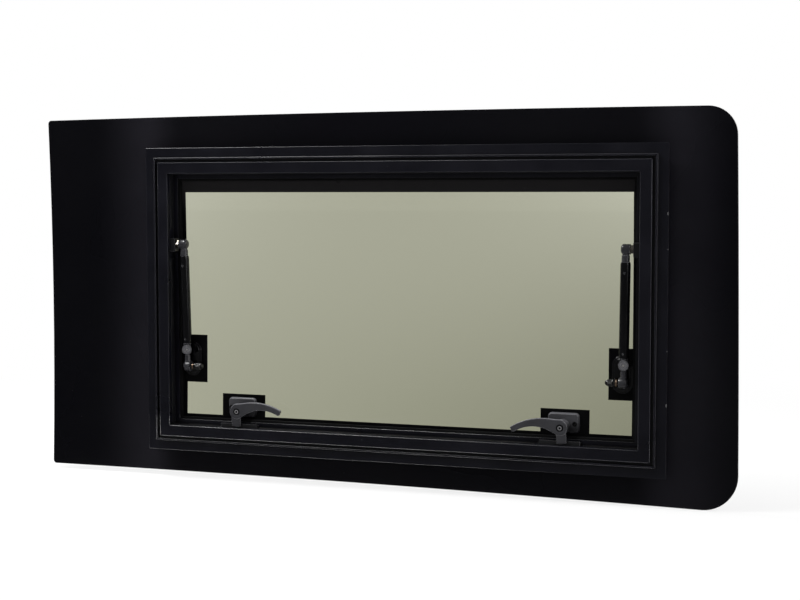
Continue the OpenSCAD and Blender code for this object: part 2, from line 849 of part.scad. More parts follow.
// Oval foot bonded on the pane, with an ear that carries the lower stud
module stay_foot() {
    seat_y = inside_y(foot_z) - print_t;
    top_y = seat_y - foot_dome_t;
    color("#1d1e20")
        difference() {
            union() {
                intersection() {
                    translate([foot_x, 0, -foot_z]) {
                        slab(seat_y - foot_base_t, past)
                            oval(foot_base_w, foot_base_h);
                        slab(top_y, seat_y)
                            oval(foot_dome_w, foot_dome_h);
                    }
                    inside_bend(-print_t);
                }
                translate([0, stay_low_y, -stay_low_z])
                    rod_x(ear_d, ear_x, ear_x + ear_t);
                translate([ear_x, stay_low_y, -stay_low_z - ear_d / 2])
                    cube([ear_t, top_y + lap - stay_low_y, ear_d]);
            }
            translate([0, stay_low_y, -stay_low_z])
                rod_x(stud_d + 2 * running, ear_x - lap, ear_x + ear_t + lap);
        }
}
module lower_stud() {
    color("#a98d63")
        translate([0, stay_low_y, -stay_low_z]) {
            translate([stay_low_x, 0, 0])
                sphere(d = ball_d, $fn = round_fn);
            rod_x(stud_neck, ear_x, stay_low_x);
            rod_x(stud_d, ear_x - nut_h, ear_x + ear_t + gap + washer_t);
            rod_x(washer_d, ear_x + ear_t + gap, ear_x + ear_t + gap + washer_t);
            rod_x(nut_d, ear_x - gap - nut_h, ear_x - gap, 6);
            translate([ear_x - gap - nut_h, 0, 0])
                sphere(d = dome_d, $fn = round_fn);
        }
}

at_centre() outer_panel();
at_centre() bonding_bead();
at_centre() frame_top();
at_centre() frame_bottom();
at_centre() frame_left();
at_centre() frame_right();
at_centre() pane_seal();
at_centre() opening_pane();
at_centre() pane_border();
at_centre() hinge_rail();
at_centre() hinge_leaf();
at_centre() head_strip();
at_centre() sill_strip_end(-1);  // sill_strip_left
at_centre() sill_strip_middle();
at_centre() sill_strip_end(1);  // sill_strip_right
at_centre() jamb_strip_upper(-1);  // jamb_strip_left_upper
at_centre() jamb_strip_lower(-1);  // jamb_strip_left_lower
at_centre() jamb_strip_upper(1);  // jamb_strip_right_upper
at_centre() jamb_strip_lower(1);  // jamb_strip_right_lower
at_centre() handed(-1) keeper();  // keeper_left
at_centre() keeper();  // keeper_right
at_centre() handed(-1) latch_base(-1);  // latch_base_left
at_centre() latch_base(1);  // latch_base_right
at_centre() handed(-1) latch_lever(0);  // latch_lever_left
at_centre() latch_lever(right_droop);  // latch_lever_right
at_centre() handed(-1) latch_pivot();  // latch_pivot_left
at_centre() latch_pivot();  // latch_pivot_right
at_centre() handed(-1) stay_bracket();  // stay_bracket_left
at_centre() stay_bracket();  // stay_bracket_right
at_centre() handed(-1) upper_stud();  // upper_stud_left
at_centre() upper_stud();  // upper_stud_right
at_centre() handed(-1) upper_socket();  // upper_socket_left
at_centre() upper_socket();  // upper_socket_right
at_centre() handed(-1) stay_tube();  // stay_tube_left
at_centre() stay_tube();  // stay_tube_right
at_centre() handed(-1) stay_rod();  // stay_rod_left
at_centre() stay_rod();  // stay_rod_right
at_centre() handed(-1) stay_clamp(clamp_turn_left);  // stay_clamp_left
at_centre() stay_clamp(clamp_turn_right);  // stay_clamp_right
at_centre() handed(-1) clamp_knob(clamp_turn_left);  // clamp_knob_left
at_centre() clamp_knob(clamp_turn_right);  // clamp_knob_right
at_centre() handed(-1) stay_foot();  // stay_foot_left
at_centre() stay_foot();  // stay_foot_right
at_centre() handed(-1) lower_stud();  // lower_stud_left
at_centre() lower_stud();  // lower_stud_right
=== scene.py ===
# %% [markdown]
# # An opening van window
#
# A black bent glass panel carries a framed opening with a tinted pane, two telescopic stays and
# two lever latches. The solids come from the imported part, in metres. This lesson gives them
# their finishes, rounds their edges, and adds what is too small to be a solid.

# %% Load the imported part
import json
import math

import bmesh
import bpy
from mathutils import Matrix, Vector


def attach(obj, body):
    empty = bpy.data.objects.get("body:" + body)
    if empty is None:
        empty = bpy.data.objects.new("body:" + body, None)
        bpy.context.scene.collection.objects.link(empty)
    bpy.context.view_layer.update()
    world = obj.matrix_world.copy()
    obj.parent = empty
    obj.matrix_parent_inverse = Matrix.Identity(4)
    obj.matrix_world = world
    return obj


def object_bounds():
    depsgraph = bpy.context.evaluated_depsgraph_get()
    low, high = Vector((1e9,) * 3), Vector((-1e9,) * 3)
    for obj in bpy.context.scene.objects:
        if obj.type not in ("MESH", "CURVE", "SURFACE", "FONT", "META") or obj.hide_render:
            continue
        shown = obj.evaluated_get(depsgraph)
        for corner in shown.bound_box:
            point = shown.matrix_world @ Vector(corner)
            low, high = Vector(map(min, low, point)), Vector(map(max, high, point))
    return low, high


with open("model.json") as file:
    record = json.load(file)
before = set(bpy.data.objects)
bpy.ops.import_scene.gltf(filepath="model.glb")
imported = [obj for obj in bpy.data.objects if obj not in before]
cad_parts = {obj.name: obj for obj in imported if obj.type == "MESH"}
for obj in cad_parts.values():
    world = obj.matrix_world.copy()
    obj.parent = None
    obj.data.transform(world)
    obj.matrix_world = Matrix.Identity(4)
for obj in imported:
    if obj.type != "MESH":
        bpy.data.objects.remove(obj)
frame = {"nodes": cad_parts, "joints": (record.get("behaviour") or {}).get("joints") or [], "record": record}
cad_low, cad_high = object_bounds()
parts = frame["nodes"]
MM = 0.001
print("nodes:", len(parts), "box:", [round(v, 3) for v in cad_low], [round(v, 3) for v in cad_high])

# %% [markdown]
# ## Where things are
#
# The window's centre lies above the origin, which is the middle of the bottom flange's rear
# face. Drawing in millimetres from the centre keeps the numbers short, so one function turns
# such a point into the part's own frame.

# %% Points from the window's centre
WALL_T = 2.5
CENTRE_Z = 251.2


def at(x, y, z):
    """A point in mm from the window's centre, y from the flange's face, as metres in the part."""
    return Vector((x, y - WALL_T, z + CENTRE_Z)) * MM


print("centre of the window:", at(0, 0, 0))

# %% [markdown]
# ## Colours and nodes
#
# Colours are written as sRGB hex values, as a paint chart gives them, and one function turns
# them into the linear values that the shader needs. One more function adds a node together
# with its settings and links: a value that is a socket becomes a link.

# %% Colour and node helpers


def linear(text):
    """An sRGB hex colour as linear RGBA."""
    shares = [int(text[i:i + 2], 16) / 255 for i in (1, 3, 5)]
    return [v / 12.92 if v <= 0.04045 else ((v + 0.055) / 1.055) ** 2.4 for v in shares] + [1.0]


def add(tree, kind, settings=None, **sockets):
    """Adds a node. Sockets are named with _ for a space, or by number as in i0."""
    made = tree.nodes.new(kind if "Node" in kind else "ShaderNode" + kind)
    for key, value in (settings or {}).items():
        setattr(made, key, value)
    for key, value in sockets.items():
        number = key[1:].isdigit() and key[0] == "i"
        socket = made.inputs[int(key[1:])] if number else made.inputs[key.replace("_", " ")]
        if isinstance(value, bpy.types.NodeSocket):
            tree.links.new(value, socket)
        else:
            socket.default_value = value
    return made


print("mid grey in linear light:", [round(v, 3) for v in linear("#808080")])

# %% [markdown]
# ## The camera
#
# The photograph was taken from the window's right, a little above its middle. The focal length
# and the place were solved from the frame's straight edges, so the camera is set by numbers.

# %% Camera
eye = bpy.data.cameras.new("photo_camera")
eye.lens = 71.3
eye.sensor_width = 36
camera = bpy.data.objects.new("photo_camera", eye)
camera.location = (0.8850, -2.4229, 0.4346)
camera.rotation_euler = [math.radians(v) for v in (86.12, 0.05, 19.80)]
bpy.context.scene.collection.objects.link(camera)
bpy.context.scene.camera = camera
print("camera at", [round(v, 3) for v in camera.location], "lens", eye.lens, "mm")

# %% [markdown]
# ## Floor, background and light
#
# The photograph is cut out on white, and its blacks are deep, so the white backdrop stood behind
# the window and the room on the camera's side was dim. The world follows that: it is white
# where the camera or the clear pane sees it, reflections see white behind the window and a dim
# room in front of it, and everything else gets a plain soft light. The floor is a pale sheet
# under the panel's lower edge. Near the window it takes the shadow, and further out it runs
# into the white. Reflections in the floor's place pass from dim to white in the same way.

# %% White world
scene = bpy.context.scene
scene.view_settings.view_transform = "Standard"
world = bpy.data.worlds.new("white_studio")
world.use_nodes = True
scene.world = world
air = world.node_tree
air.nodes.clear()
SKY_FILL = 0.42
ROOM_DIM = 0.10
DIM_UNTIL, WHITE_FROM = -0.25, 0.35


def seen_straight(tree):
    """1 where the camera or a clear pane looks, 0 for light on surfaces."""
    path = add(tree, "LightPath").outputs
    return add(tree, "Math", {"operation": "MAXIMUM"}, i0=path["Is Camera Ray"],
               i1=path["Is Transmission Ray"]).outputs[0]


def seen_in_gloss(tree):
    """1 where a mirror reflection looks."""
    return add(tree, "LightPath").outputs["Is Glossy Ray"]


heading = add(air, "SeparateXYZ", Vector=add(air, "TexCoord").outputs["Generated"])
backdrop = add(air, "MapRange", {"interpolation_type": "SMOOTHSTEP"}, Value=heading.outputs["Y"],
               From_Min=DIM_UNTIL, From_Max=WHITE_FROM, To_Min=ROOM_DIM, To_Max=1.0)
unseen = add(air, "Mix", {"data_type": "FLOAT"}, i0=seen_in_gloss(air), i2=SKY_FILL,
             i3=backdrop.outputs[0])
strength = add(air, "Mix", {"data_type": "FLOAT"}, i0=seen_straight(air), i2=unseen.outputs[0],
               i3=1.0)
sky = add(air, "Background", Color=(1, 1, 1, 1), Strength=strength.outputs[0])
add(air, "OutputWorld", Surface=sky.outputs[0])
print("world fill", SKY_FILL)

# %% Pale floor
FLOOR_SIZE = 14.0
FLOOR_GAP = 0.0005
FLOOR_NEAR, FLOOR_FAR = 0.7, 1.9
NEAR_GLOW = 0.76
floor_mesh = bpy.data.meshes.new("studio_floor")
half = FLOOR_SIZE / 2
floor_mesh.from_pydata([(-half, -half, 0), (half, -half, 0), (half, half, 0), (-half, half, 0)],
                       [], [(0, 1, 2, 3)])
floor = bpy.data.objects.new("studio_floor", floor_mesh)
floor.location = (0, 0, cad_low.z - FLOOR_GAP)
scene.collection.objects.link(floor)
paper = bpy.data.materials.new("white_paper_sweep")
paper.use_nodes = True
sheet = paper.node_tree
sheet.nodes.clear()
spot = add(sheet, "TexCoord").outputs["Object"]
reach = add(sheet, "VectorMath", {"operation": "LENGTH"}, i0=spot)
fade = add(sheet, "MapRange", {"interpolation_type": "SMOOTHSTEP"}, Value=reach.outputs["Value"],
           From_Min=FLOOR_NEAR, From_Max=FLOOR_FAR, To_Min=NEAR_GLOW, To_Max=1.0)
share = add(sheet, "Math", {"operation": "MULTIPLY"}, i0=fade.outputs[0], i1=seen_straight(sheet))
matt = add(sheet, "BsdfDiffuse", Color=linear("#f4f4f4"), Roughness=0.5)
glow = add(sheet, "Emission", Color=(1, 1, 1, 1), Strength=1.0)
both = add(sheet, "MixShader", i0=share.outputs[0], i1=matt.outputs[0], i2=glow.outputs[0])
depth = add(sheet, "SeparateXYZ", Vector=spot)
lit = add(sheet, "MapRange", {"interpolation_type": "SMOOTHSTEP"}, Value=depth.outputs["Y"],
          From_Min=DIM_UNTIL, From_Max=WHITE_FROM, To_Min=ROOM_DIM, To_Max=1.0)
mirrored = add(sheet, "Emission", Color=(1, 1, 1, 1), Strength=lit.outputs[0])
last = add(sheet, "MixShader", i0=seen_in_gloss(sheet), i1=both.outputs[0], i2=mirrored.outputs[0])
add(sheet, "OutputMaterial", Surface=last.outputs[0])
floor_mesh.materials.append(paper)
print("floor at z", round(floor.location.z, 4))

# %% [markdown]
# The photograph's bright lines lie on edges that face up and to the right. A long soft box
# hangs over the window's left half, where the rounded upper edges mirror it for this camera.
# A weaker, tall one stands to the right.

# %% Soft boxes


def soft_box(name, place, aim, width, height, watts):
    """A rectangular studio light at place that points at aim."""
    lamp = bpy.data.lights.new(name, "AREA")
    lamp.shape = "RECTANGLE"
    lamp.size, lamp.size_y, lamp.energy = width, height, watts
    box_light = bpy.data.objects.new(name, lamp)
    box_light.location = place
    box_light.rotation_euler = (Vector(aim) - Vector(place)).to_track_quat("-Z", "Y").to_euler()
    scene.collection.objects.link(box_light)


MIDDLE = (0, 0, 0.25)
soft_box("overhead_box", (-1.1, -0.30, 1.9), MIDDLE, 1.5, 0.6, 70)
soft_box("right_box", (2.2, -0.8, 1.05), MIDDLE, 0.5, 1.9, 16)

# %% [markdown]
# ## Finishes
#
# Nearly everything here is black or dark grey, so the finishes differ by sheen and grain, not
# by colour. Each one starts from the real material. A broad noise varies the colour, a finer
# one the gloss, and a third gives the grain as bump. A rounded-edge test finds the sharp edges,
# which are made paler, partly as wear and partly as a painted highlight. An occlusion test
# darkens grooves as painted shade, and the upper side of a crowned face gets a painted highlight.

# %% How far a point lies from the window's middle and from the frame's mitres
FRAME_W, FRAME_H = 900.0, 519.0


def from_middle(tree, where):
    """Distance in metres from the upright plane through the window's middle."""
    axis = add(tree, "SeparateXYZ", Vector=where)
    return add(tree, "Math", {"operation": "ABSOLUTE"}, i0=axis.outputs["X"]).outputs[0]


def mitre_distance(tree, where):
    """Distance in metres from the nearest plane in which two lengths of frame meet."""
    axis = add(tree, "SeparateXYZ", Vector=where)
    rise_z = add(tree, "Math", {"operation": "SUBTRACT"}, i0=axis.outputs["Z"], i1=CENTRE_Z * MM)
    up = add(tree, "Math", {"operation": "ABSOLUTE"}, i0=rise_z.outputs[0])
    gap = add(tree, "Math", {"operation": "SUBTRACT"}, i0=from_middle(tree, where),
              i1=up.outputs[0])
    past = add(tree, "Math", {"operation": "SUBTRACT"}, i0=gap.outputs[0],
               i1=(FRAME_W - FRAME_H) / 2 * MM)
    return add(tree, "Math", {"operation": "ABSOLUTE"}, i0=past.outputs[0]).outputs[0]


print("mitres meet the frame's corners at 45 degrees")

# %% One builder for coats and plastics
GROOVE_PAINTED_SHADE = "#020202"
GRAIN_DEPTH = 0.2


def finish(name, base, patch, edge, gloss, grain_mm, grain, level=0.5, metal=0.0, spread=0.08,
           edge_mm=0.7, patch_mm=60.0, mitred=False, crown_mm=0.0, rim="", shade_depth_mm=0.0,
           tones=(), edge_highlight_tones=()):
    """A coat or plastic: base and patch colours, edge colour, roughness, grain size in mm.

    crown_mm rounds the shading that far in from each edge, and rim is the colour of a painted
    highlight on the upper side of that crown. shade_depth_mm darkens grooves of that depth, as
    painted shade. The edge colour goes on the sharp edges, partly as wear and partly as a painted
    highlight. tones lists pairs of a hex colour and a function that draws its mask in the tree,
    and edge_highlight_tones does the same for those edges.
    """
    made = bpy.data.materials.new(name)
    made.use_nodes = True
    tree = made.node_tree
    tree.nodes.clear()
    where = add(tree, "TexCoord").outputs["Object"]
    broad = add(tree, "TexNoise", Vector=where, Scale=1 / (patch_mm * MM), Detail=3.0)
    blotch = add(tree, "MapRange", {"interpolation_type": "SMOOTHSTEP"}, Value=broad.outputs[0],
                 From_Min=0.25, From_Max=0.75)
    tint = add(tree, "Mix", {"data_type": "RGBA"}, i0=blotch.outputs[0], i6=linear(base),
               i7=linear(patch)).outputs[2]
    round_edge = add(tree, "Bevel", {"samples": 4}, Radius=edge_mm * MM)
    flat = add(tree, "NewGeometry").outputs["Normal"]
    turn = add(tree, "VectorMath", {"operation": "DOT_PRODUCT"}, i0=round_edge.outputs[0], i1=flat)
    # The paler sharp edges are partly wear and partly a painted highlight.
    wear_and_highlight = add(tree, "MapRange", Value=turn.outputs["Value"], From_Min=0.98, From_Max=0.80,
               To_Min=0.0, To_Max=1.0).outputs[0]
    if mitred:
        clear_of = add(tree, "MapRange", Value=mitre_distance(tree, where), From_Min=0.9 * MM,
                       From_Max=1.8 * MM)
        wear_and_highlight = add(tree, "Math", {"operation": "MULTIPLY"}, i0=wear_and_highlight,
                   i1=clear_of.outputs[0]).outputs[0]
    if crown_mm:
        crown = add(tree, "Bevel", {"samples": 8}, Radius=crown_mm * MM)
    # Painted highlight: the upper side of the crown is mixed towards the rim colour.
    if rim:
        own = add(tree, "VectorTransform", {"vector_type": "NORMAL", "convert_from": "WORLD",
                                            "convert_to": "OBJECT"}, Vector=crown.outputs[0])
        upward = add(tree, "SeparateXYZ", Vector=own.outputs[0]).outputs["Z"]
        painted_top_highlight = add(tree, "MapRange", {"interpolation_type": "SMOOTHSTEP"}, Value=upward,
                     From_Min=0.10, From_Max=0.62)
        tint = add(tree, "Mix", {"data_type": "RGBA"}, i0=painted_top_highlight.outputs[0], i6=tint,
                   i7=linear(rim)).outputs[2]
    edge_wear_and_highlight_tint = linear(edge)
    for tone, mask in edge_highlight_tones:
        edge_wear_and_highlight_tint = add(tree, "Mix", {"data_type": "RGBA"}, i0=mask(tree, where), i6=edge_wear_and_highlight_tint,
                        i7=linear(tone)).outputs[2]
    colour = add(tree, "Mix", {"data_type": "RGBA"}, i0=wear_and_highlight, i6=tint, i7=edge_wear_and_highlight_tint).outputs[2]
    for tone, mask in tones:
        colour = add(tree, "Mix", {"data_type": "RGBA"}, i0=mask(tree, where), i6=colour,
                     i7=linear(tone)).outputs[2]
    # Painted shade: grooves and recesses are darkened towards black by an occlusion test.
    if shade_depth_mm:
        hidden = add(tree, "AmbientOcclusion", {"samples": 4}, Distance=shade_depth_mm * MM).outputs["AO"]
        shut = add(tree, "MapRange", Value=hidden, From_Min=0.25, From_Max=0.75)
        colour = add(tree, "Mix", {"data_type": "RGBA"}, i0=shut.outputs[0],
                     i6=linear(GROOVE_PAINTED_SHADE), i7=colour).outputs[2]
    fine = add(tree, "TexNoise", Vector=where, Scale=1 / (grain_mm * MM), Detail=2.0)
    sheen = add(tree, "MapRange", Value=broad.outputs[0], From_Min=0.3, From_Max=0.7,
                To_Min=gloss - spread, To_Max=gloss + spread)
    bumps = add(tree, "Bump", Strength=grain, Distance=grain_mm * MM * GRAIN_DEPTH,
                Height=fine.outputs[0])
    if crown_mm:
        tree.links.new(crown.outputs[0], bumps.inputs["Normal"])
    shader = add(tree, "BsdfPrincipled", Base_Color=colour, Metallic=metal,
                 Roughness=sheen.outputs[0], Specular_IOR_Level=level, Normal=bumps.outputs[0])
    add(tree, "OutputMaterial", Surface=shader.outputs[0])
    return made


def dress(slot, made, only=""):
    """Gives every node of that slot the finish, or only those whose name starts so."""
    for row in frame["record"]["subparts"]:
        if row["material_slot"] == slot and row["node"].startswith(only):
            mesh = parts[row["node"]].data
            mesh.materials.clear()
            mesh.materials.append(made)


print("finish builder ready")

# %% [markdown]
# Some tones are dust, and some are painted light and shade, so each is a mask drawn from places
# on the part. A lighter film beside the frame's upright sides is a painted sheen on the panel.
# Dust specks are about 0.6 mm wide, twice what real ones are, so that a few of them show. The
# sill's edges get a white painted highlight, strongest on its left and middle lengths, and the
# flange's edge gets hardly any. Painted shade darkens the latch bases below the levers, and round
# spots of painted shade darken a hole in each base and the recess about each pivot screw.

# %% Masks
SPOT_BLUR = 0.15
WASHER_X, WASHER_HALF = 368.6, 1.5


# Painted sheen: the panel is made lighter beside the frame's upright sides, unevenly along them.
def sheen_beside_frame(tree, where):
    """1 beside the frame's upright sides, falling to nothing 130 mm further out."""
    side = from_middle(tree, where)
    thin = add(tree, "MapRange", {"interpolation_type": "SMOOTHERSTEP"}, Value=side,
               From_Min=(FRAME_W / 2 + 130) * MM, From_Max=(FRAME_W / 2 - 40) * MM)
    beside = add(tree, "MapRange", {"interpolation_type": "SMOOTHSTEP"}, Value=side,
                 From_Min=(FRAME_W / 2 - 60) * MM, From_Max=(FRAME_W / 2 + 20) * MM,
                 To_Min=0.15, To_Max=1.0)
    thin = add(tree, "Math", {"operation": "MULTIPLY"}, i0=thin.outputs[0], i1=beside.outputs[0])
    uneven = add(tree, "TexNoise", Vector=where, Scale=1 / (70 * MM), Detail=4.0)
    patchy = add(tree, "MapRange", Value=uneven.outputs[0], From_Min=0.2, From_Max=0.7,
                 To_Min=0.75, To_Max=1.0)
    return add(tree, "Math", {"operation": "MULTIPLY"}, i0=thin.outputs[0],
               i1=patchy.outputs[0]).outputs[0]


def dust_specks(tree, where):
    """Small round specks in some cells of a 22 mm pattern."""
    cells = add(tree, "TexVoronoi", Vector=where, Scale=1 / (22 * MM))
    speck = add(tree, "MapRange", Value=cells.outputs["Distance"], From_Min=0.016, From_Max=0.010)
    pick = add(tree, "SeparateColor", Color=cells.outputs["Color"])
    few = add(tree, "Math", {"operation": "GREATER_THAN"}, i0=pick.outputs[0], i1=0.6)
    return add(tree, "Math", {"operation": "MULTIPLY"}, i0=speck.outputs[0],
               i1=few.outputs[0]).outputs[0]


def sill_side(tree, where):
    """1 on the sill and what lies below it."""
    axis = add(tree, "SeparateXYZ", Vector=where)
    return add(tree, "Math", {"operation": "LESS_THAN"}, i0=axis.outputs["Z"],
               i1=(CENTRE_Z - 200) * MM).outputs[0]


# Painted highlight: this mask whitens the sill's edges, less towards its right end.
def sill_highlight(tree, where):
    """1 on the sill's left and middle lengths, falling towards its right end."""
    axis = add(tree, "SeparateXYZ", Vector=where)
    fall = add(tree, "MapRange", Value=axis.outputs["X"], From_Min=50 * MM, From_Max=300 * MM,
               To_Min=1.0, To_Max=0.1)
    return add(tree, "Math", {"operation": "MULTIPLY"}, i0=sill_side(tree, where),
               i1=fall.outputs[0]).outputs[0]


def flange_face(tree, where):
    """Rises to 0.8 on the frame's flange, which lies behind its lip and rib."""
    axis = add(tree, "SeparateXYZ", Vector=where)
    return add(tree, "MapRange", Value=axis.outputs["Y"], From_Min=-3.9 * MM, From_Max=-3.1 * MM,
               To_Min=0.0, To_Max=0.8).outputs[0]


def above_pane(tree, where):
    """1 on the upper part of the opening, where the border is made lighter."""
    axis = add(tree, "SeparateXYZ", Vector=where)
    return add(tree, "MapRange", {"interpolation_type": "SMOOTHSTEP"}, Value=axis.outputs["Z"],
               From_Min=(CENTRE_Z + 140) * MM, From_Max=(CENTRE_Z + 185) * MM).outputs[0]


def shade_under_lever(tree, where):
    """1 on the lower part of a latch base, darkened there as painted shade below the lever."""
    axis = add(tree, "SeparateXYZ", Vector=where)
    return add(tree, "MapRange", {"interpolation_type": "SMOOTHSTEP"}, Value=axis.outputs["Z"],
               From_Min=(CENTRE_Z - 174) * MM, From_Max=(CENTRE_Z - 193) * MM,
               To_Max=0.9).outputs[0]


def round_spot(x_mm, z_mm, radius_mm):
    """A mask function: 1 within a radius of two places mirrored in the window's middle."""
    def mask(tree, where):
        axis = add(tree, "SeparateXYZ", Vector=where)
        flat = add(tree, "CombineXYZ", X=from_middle(tree, where), Z=axis.outputs["Z"])
        off = add(tree, "VectorMath", {"operation": "DISTANCE"}, i0=flat.outputs[0],
                  i1=(x_mm * MM, 0, (z_mm + CENTRE_Z) * MM))
        return add(tree, "MapRange", Value=off.outputs["Value"],
                   From_Min=(radius_mm + SPOT_BLUR) * MM,
                   From_Max=(radius_mm - SPOT_BLUR) * MM).outputs[0]
    return mask


def copper_washer(tree, where):
    """1 on the washer between the foot's ear and the lower ball socket."""
    return add(tree, "Math", {"operation": "COMPARE"}, i0=from_middle(tree, where),
               i1=WASHER_X * MM, i2=WASHER_HALF * MM).outputs[0]


print("masks ready")

# %% [markdown]
# The blacks first. The panel is glass with a fired enamel on its inner face, nearly even and
# only faintly glossy. The frame is extruded aluminium under a fine satin powder coat, whose edges
# are paler, partly as wear and partly as a painted highlight, and whose grooves are darkened as
# painted shade. Rubber and adhesive are less glossy. The trim is a grey-black PVC, and the strips
# on the sill, which face up into the shade, are painted darker as painted shade.

# %% Blacks
dress("panel_glass", finish("black_enamelled_glass", "#050508", "#09090c", "#1c1c20", 0.30, 4.0,
                            0.02, level=0.08, patch_mm=400,
                            tones=(("#1d1c21", sheen_beside_frame), ("#6a6a6c", dust_specks))))
dress("sealant", finish("polyurethane_adhesive", "#0b0b0c", "#131314", "#1a1a1b", 0.6, 6.0, 0.6,
                        level=0.3))
# The frame's pale edges are partly wear and partly a painted highlight. The flange holds them back to near
# the coat's colour, and the sill paints them white.
dress("frame_coat", finish("satin_powder_coat", "#08080f", "#0d0d16", "#6a6a72", 0.34, 1.2, 0.12,
                           level=0.32, patch_mm=90, mitred=True, shade_depth_mm=8.0,
                           tones=(("#8a8a8c", dust_specks),),
                           edge_highlight_tones=(("#141419", flange_face), ("#ffffff", sill_highlight))))
dress("seal_rubber", finish("epdm_rubber", "#060607", "#0a0a0b", "#141415", 0.7, 1.5, 0.3,
                            level=0.2))
dress("border_enamel", finish("fired_black_enamel", "#030304", "#060607", "#161618", 0.35, 2.0,
                              0.05, level=0.10,
                              tones=(("#1b1a1b", above_pane), ("#5a5a5c", dust_specks))))
dress("hinge_alloy", finish("black_anodised_aluminium", "#1c1c1f", "#222226", "#55555a", 0.4, 1.0,
                            0.1, metal=1.0))
dress("trim_plastic", finish("pvc_trim", "#0f0f12", "#141418", "#3c3c42", 0.45, 1.5, 0.2,
                             level=0.3))
# Painted shade: a darker copy of the trim for the strips on the sill.
dress("trim_plastic", finish("pvc_sill_trim_painted_shade", "#040405", "#08080a", "#3c3c42", 0.45, 1.5, 0.2,
                             level=0.3), "sill_strip")
dress("keeper_plastic", finish("glass_filled_nylon_black", "#131315", "#1a1a1d", "#6c6c70", 0.5,
                               1.2, 0.35, level=0.4, shade_depth_mm=5.0))
print("blacks:", len(bpy.data.materials))

# %% [markdown]
# The fittings. Glass-filled nylon comes out of the mould with a fine matt grain, and its rims are
# paler, partly as wear and partly as a painted highlight. The lever's face is crowned, which the
# shading gives by rounding the surface in from the rim, and the upper side of that crown gets a
# painted highlight. The stays' heads are smoother, the knobs paler, and the feet on the pane are
# glossy ABS that shows little but its highlights. The studs are zinc plated steel, and a copper
# washer lies on each lower stud. A pivot screw's head is dark with a grey ring round its socket;
# its socket and outer part are painted dark as painted shade, and so is a round recess of the
# lever about it.

# %% Fittings
PIVOT_X, PIVOT_Z = 281.4, -187.9
BASE_OUT, SCREW_OUT = 0.8, 18.4
BASE_SCREW_X, BASE_SCREW_Z = PIVOT_X + BASE_OUT + SCREW_OUT, -183.6
# Painted light: each rim colour is a painted highlight on the crown's upper side, and the round spots and
# the darkening below the lever are painted shade.
dress("latch_plastic", finish("glass_filled_nylon_grey", "#2c2c2f", "#353538", "#8c8c90", 0.36,
                              1.2, 0.35, level=0.2, edge_mm=0.8, crown_mm=3.4, rim="#6c6c71",
                              shade_depth_mm=2.5,
                              tones=(("#010101", round_spot(PIVOT_X, PIVOT_Z, 5.9)),)),
      "latch_lever")
dress("latch_plastic", finish("glass_filled_nylon_pale", "#343437", "#3e3e41", "#98989c", 0.40,
                              1.2, 0.35, level=0.2, edge_mm=0.7, crown_mm=1.6, rim="#58585c",
                              shade_depth_mm=5.0,
                              tones=(("#121214", shade_under_lever),
                                     ("#0a0a0b", round_spot(BASE_SCREW_X, BASE_SCREW_Z, 4.0)))),
      "latch_base")
dress("stay_plastic", finish("moulded_nylon", "#232326", "#2d2d30", "#88888c", 0.28, 1.2, 0.15,
                             level=0.5, shade_depth_mm=4.0))
dress("stay_plastic", finish("moulded_nylon_black", "#08080a", "#0e0e11", "#505055", 0.45, 1.2,
                             0.25, level=0.4), "stay_bracket")
dress("knob_plastic", finish("moulded_nylon_knob", "#3c3c3f", "#464649", "#88888c", 0.42, 1.0,
                             0.25, level=0.4, shade_depth_mm=1.5))
dress("foot_plastic", finish("glossy_abs", "#020203", "#050506", "#2c2c30", 0.10, 2.0, 0.03,
                             level=0.5, spread=0.04, edge_mm=0.5, crown_mm=1.6, shade_depth_mm=8.0))
dress("rod_plastic", finish("black_acetal", "#242427", "#2e2e31", "#6c6c70", 0.28, 1.2, 0.1,
                            level=0.5))
# The tube's pale edge colour is mostly a painted highlight on its rolled ends.
dress("tube_coat", finish("coated_tube", "#040405", "#08080a", "#a8a8ae", 0.20, 1.0, 0.04,
                          level=0.3))
# Painted shade: the pivot screw's head is near black outside a grey ring, and its socket is painted black.
dress("screw_steel", finish("zinc_flake_steel_in_painted_shade", "#040405", "#060607", "#0a0a0b", 0.40, 0.6, 0.2,
                            level=0.2, metal=0.3,
                            tones=(("#808082", round_spot(PIVOT_X, PIVOT_Z, 3.3)),
                                   ("#030303", round_spot(PIVOT_X, PIVOT_Z, 2.0)))))
dress("stud_metal", finish("zinc_plated_stud", "#77736c", "#8a857c", "#c8c0b0", 0.30, 0.6, 0.15,
                           metal=1.0), "upper_stud")
dress("stud_metal", finish("zinc_plated_nut", "#3c3c3c", "#4a4a49", "#a8a6a2", 0.34, 0.6, 0.15,
                           metal=1.0, tones=(("#b59c86", copper_washer),)), "lower_stud")
print("finishes:", len(bpy.data.materials))

# %% [markdown]
# ## The tinted pane
#
# Toughened glass with a light grey-green tint, clear enough to see the white backdrop through.
# A pure tint would look flat. The tint is painted paler towards its top, deeper towards its lower
# right, and a little dimmer in the middle of its upper half, as painted light and shade of the
# lit backdrop seen through the pane, so those three are laid over the tint one after the other.

# %% Tinted pane
# Width, lowest level and height of the clear glass, in metres
CLEAR_W, CLEAR_LOW, CLEAR_H = 0.778, 0.053, 0.384
PANE_IOR = 1.5
tinted = bpy.data.materials.new("tinted_toughened_glass")
tinted.use_nodes = True
pane = tinted.node_tree
pane.nodes.clear()
axes = add(pane, "SeparateXYZ", Vector=add(pane, "TexCoord").outputs["Object"])
rise = add(pane, "MapRange", Value=axes.outputs["Z"], From_Min=CLEAR_LOW,
           From_Max=CLEAR_LOW + CLEAR_H).outputs[0]
across = add(pane, "MapRange", Value=axes.outputs["X"], From_Min=-CLEAR_W / 2,
             From_Max=CLEAR_W / 2).outputs[0]


